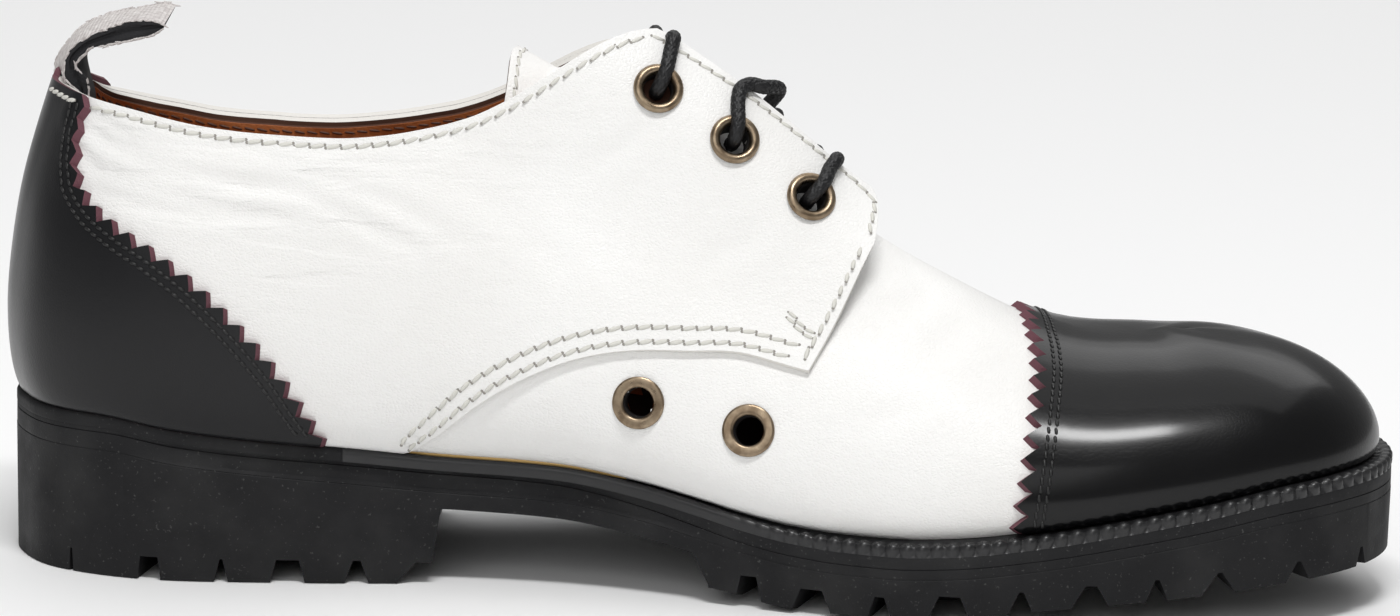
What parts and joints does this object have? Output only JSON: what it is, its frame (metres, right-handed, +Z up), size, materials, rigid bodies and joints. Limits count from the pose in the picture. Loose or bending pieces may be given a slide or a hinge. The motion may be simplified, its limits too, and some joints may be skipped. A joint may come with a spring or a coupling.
{
  "type": "spectator derby shoe",
  "caption": "Left two-tone derby shoe: white leather quarters and vamp, black toe cap and heel counter, lugged rubber sole, round laces and a ribbon pull loop.",
  "frame": {"origin": "on the floor under the middle of the heel", "axes": "+X to the toe, +Y to the outer side of the foot, +Z up"},
  "size_m": [0.2815, 0.1013, 0.1108],
  "materials": {
    "white_leather": "fine-grained, semi-matt",
    "black_leather": "polished, high gloss",
    "black_rubber": "matt moulded",
    "tan_lining": "unfinished, matt",
    "antique_brass": "aged, satin",
    "black_cord": "braided",
    "ribbon": "woven, off-white with a black back"
  },
  "bodies": {
    "root": {"outsole": "black_rubber", "midsole": "black_rubber", "welt": "black_rubber", "heel_rand": "black_rubber", "insole": "tan_lining", "upper": "white_leather", "tongue": "white_leather", "quarter_medial": "white_leather", "quarter_lateral": "white_leather", "toe_cap": "black_leather", "heel_counter": "black_leather", "eyelet_medial_top": "antique_brass", "eyelet_medial_middle": "antique_brass", "eyelet_medial_bottom": "antique_brass", "eyelet_lateral_top": "antique_brass", "eyelet_lateral_middle": "antique_brass", "eyelet_lateral_bottom": "antique_brass", "eyelet_vent_rear": "antique_brass", "eyelet_vent_front": "antique_brass", "lace_bar_top": "black_cord", "lace_bar_middle": "black_cord", "lace_bar_bottom": "black_cord", "pull_loop": "ribbon"}
  },
  "joints": []
}
